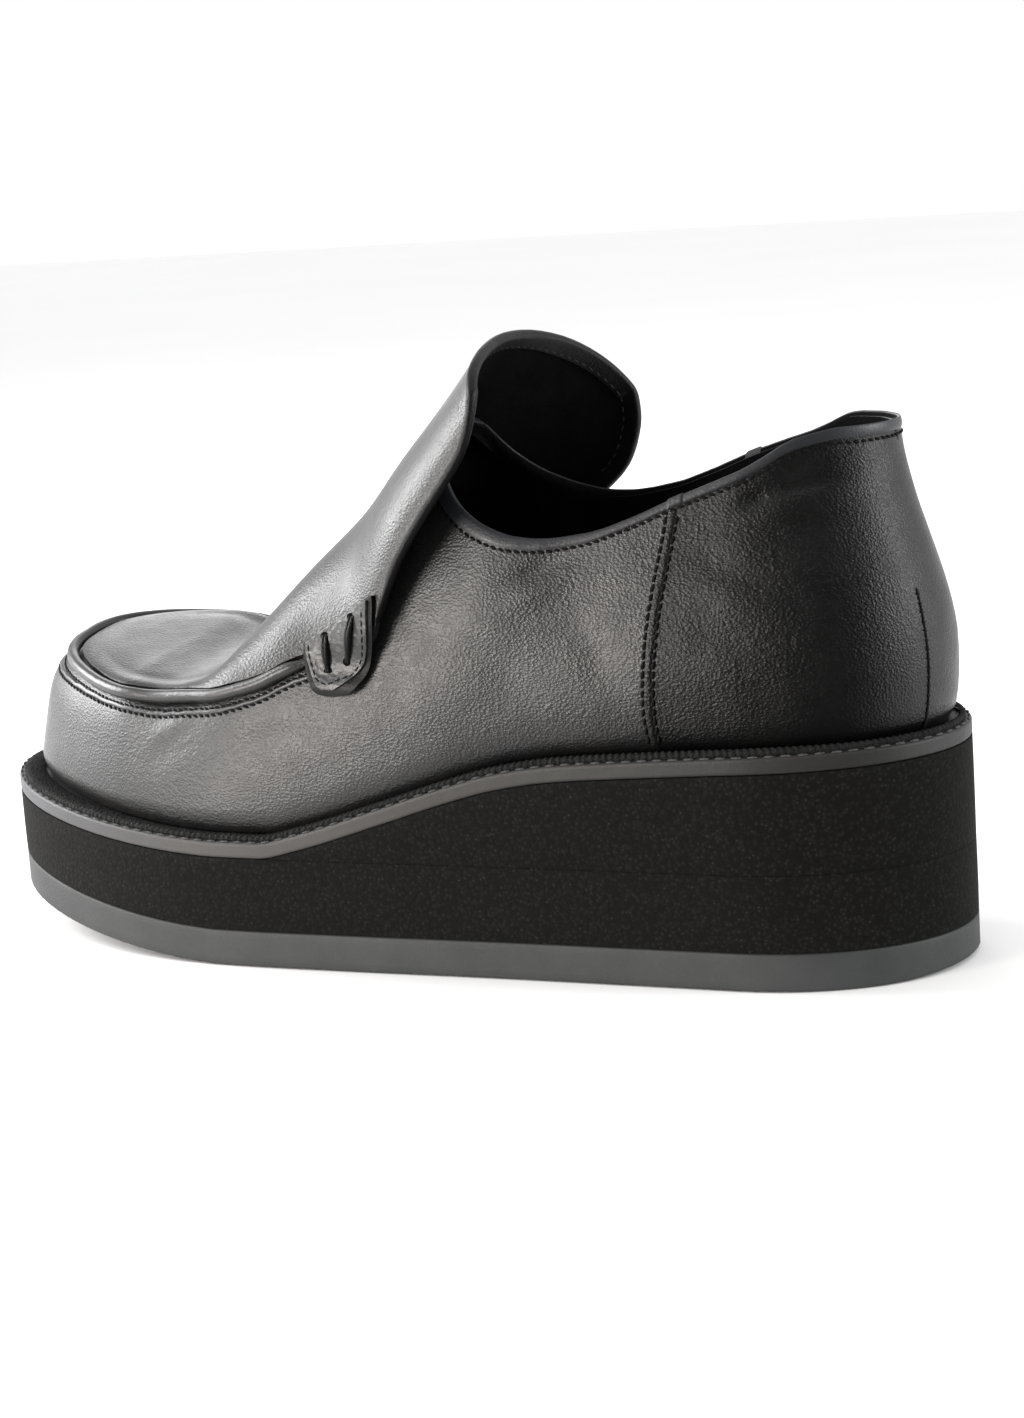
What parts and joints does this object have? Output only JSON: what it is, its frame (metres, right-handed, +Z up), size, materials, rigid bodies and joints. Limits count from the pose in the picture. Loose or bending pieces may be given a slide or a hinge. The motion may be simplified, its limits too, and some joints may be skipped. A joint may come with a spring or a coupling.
{
  "type": "platform wedge loafer",
  "caption": "Smooth leather slip-on loafer with a raised apron seam, a tall flap over the instep and a flat foam wedge platform sole.",
  "frame": {"origin": "middle of the bounding box in plan, on the floor that the sole stands on", "axes": "+Z up, -Y towards the toe, +Y towards the heel, +X towards the lateral side, which faces away from the other foot"},
  "size_m": [0.0976, 0.272, 0.1547],
  "materials": {
    "leather": "smooth black leather with a soft sheen",
    "binding": "fine dark grey binding leather",
    "lining": "matte black lining leather",
    "welt": "black knurled and stitched",
    "rim": "satin grey",
    "foam": "matte black foam with fine light specks",
    "rubber": "matte dark grey"
  },
  "bodies": {
    "root": {"outsole": "rubber", "midsole_slab": "foam", "midsole_wedge": "foam", "welt_rim": "rim", "welt_strip": "welt", "insole": "lining", "upper": "leather", "collar_binding": "binding", "apron": "leather", "apron_roll": "leather", "tab_lateral": "leather", "tab_medial": "leather"}
  },
  "joints": []
}
